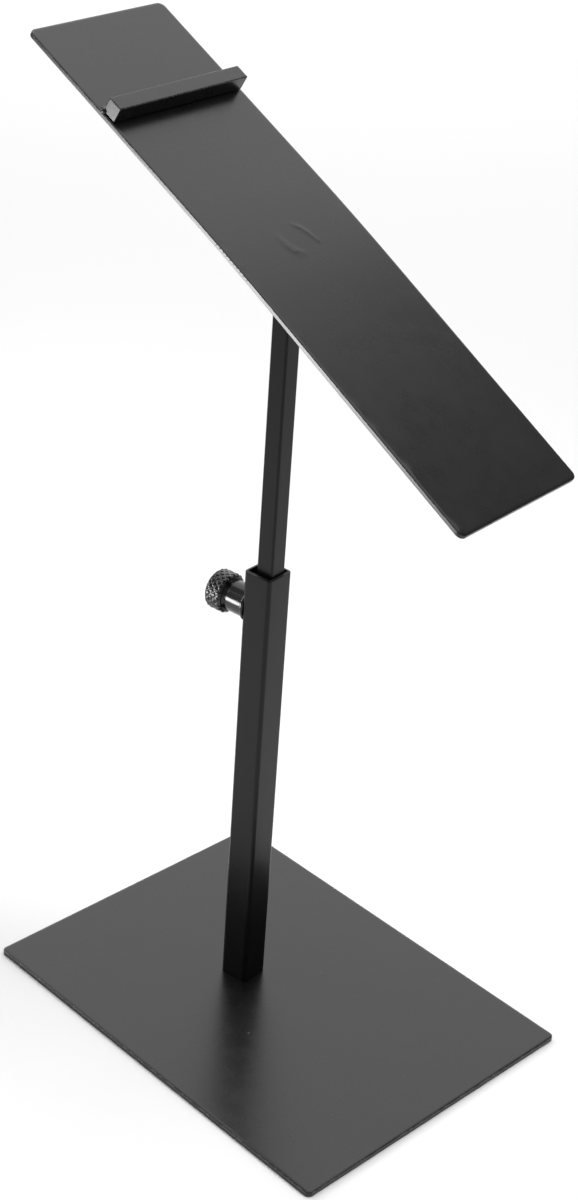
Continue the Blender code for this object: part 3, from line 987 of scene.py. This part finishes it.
def make_floor():
    material = bpy.data.materials.new("studio_floor")
    material.use_nodes = True
    shader = material.node_tree.nodes["Principled BSDF"]
    shader.inputs["Base Color"].default_value = grey(FLOOR_SHADE)
    shader.inputs["Roughness"].default_value = 0.9
    shader.inputs["Specular IOR Level"].default_value = 0.1
    bm = bmesh.new()
    bmesh.ops.create_grid(bm, x_segments=1, y_segments=1, size=FLOOR_HALF)
    mesh = bpy.data.meshes.new("studio_floor")
    bm.to_mesh(mesh)
    bm.free()
    mesh.materials.append(material)
    floor = bpy.data.objects.new("studio_floor", mesh)
    bpy.context.scene.collection.objects.link(floor)
    floor.location.z = CAD_BOX[0].z


def direction(azimuth, elevation):
    """Unit vector towards a compass place: azimuth 0 is the front (-Y) and 90 is the right (+X)."""
    a, e = math.radians(azimuth), math.radians(elevation)
    return Vector((math.sin(a) * math.cos(e), -math.cos(a) * math.cos(e), math.sin(e)))


def soft_panel(name, azimuth, elevation, distance, width, height, brightness, spread_angle=180):
    """A softbox that looks at the stand. Unless it is narrowed, its brightness is its radiance."""
    data = bpy.data.lights.new(name, "AREA")
    data.shape = "RECTANGLE"
    data.size = width
    data.size_y = height
    data.energy = brightness * math.pi * width * height
    data.spread = math.radians(spread_angle)
    light = bpy.data.objects.new(name, data)
    bpy.context.scene.collection.objects.link(light)
    target = (CAD_BOX[0] + CAD_BOX[1]) / 2
    towards = direction(azimuth, elevation)
    light.location = target + towards * distance
    light.visible_camera = False
    light.rotation_mode = "QUATERNION"
    light.rotation_quaternion = towards.to_track_quat("Z", "Y")
    return light


def gathered(name, *pieces):
    """A collection of the pieces that a light is kept to."""
    held = bpy.data.collections.new(name)
    for piece_name in pieces:
        held.objects.link(bpy.data.objects[piece_name])
    return held


def light_the_stage():
    world = bpy.data.worlds.new("studio")
    bpy.context.scene.world = world
    world.use_nodes = True
    background = world.node_tree.nodes["Background"]
    background.inputs["Color"].default_value = (1.0, 1.0, 1.0, 1.0)
    background.inputs["Strength"].default_value = WORLD_STRENGTH
    soft_panel("back_panel", *BACK_PANEL)
    soft_panel("top_panel", *TOP_PANEL)
    soft_panel("key_panel", *KEY_PANEL)
    rim_light = soft_panel("rim_panel", *RIM_PANEL)
    rim_light.light_linking.receiver_collection = gathered(
        "rim_lit",
        "tray_plate_coated",
        "stop_bar_coated",
        "stop_bar_weld_left_bead",
        "thumb_knob_knurled",
        "clamp_boss_coated",
        "boss_weld_bead",
    )
    floor_light = soft_panel("floor_panel", *FLOOR_PANEL)
    floor_light.light_linking.receiver_collection = gathered("floor_lit", "studio_floor")
    bpy.context.scene.view_settings.view_transform = "Standard"


def make_camera():
    """A camera at the photograph's angle, rolled a little as that one was."""
    turn = math.radians(CAMERA_AZIMUTH)
    roll = math.radians(CAMERA_ROLL)
    back = direction(CAMERA_AZIMUTH, CAMERA_ELEVATION)
    level = Vector((math.cos(turn), math.sin(turn), 0.0))
    over = back.cross(level)
    right = level * math.cos(roll) + over * math.sin(roll)
    up = over * math.cos(roll) - level * math.sin(roll)
    data = bpy.data.cameras.new("camera")
    data.lens = CAMERA_LENS
    data.sensor_width = CAMERA_SENSOR
    camera = bpy.data.objects.new("camera", data)
    bpy.context.scene.collection.objects.link(camera)
    place = Matrix.Translation(CAMERA_TARGET + back * CAMERA_DISTANCE)
    camera.matrix_world = place @ Matrix((right, up, back)).transposed().to_4x4()
    bpy.context.scene.camera = camera


make_base_plate()
make_base_screw()
make_outer_tube()
make_inner_tube()
make_boss()
make_stud()
make_knob()
make_tray()
make_tray_weld()
make_stop_bar()
make_floor()
light_the_stage()
make_camera()
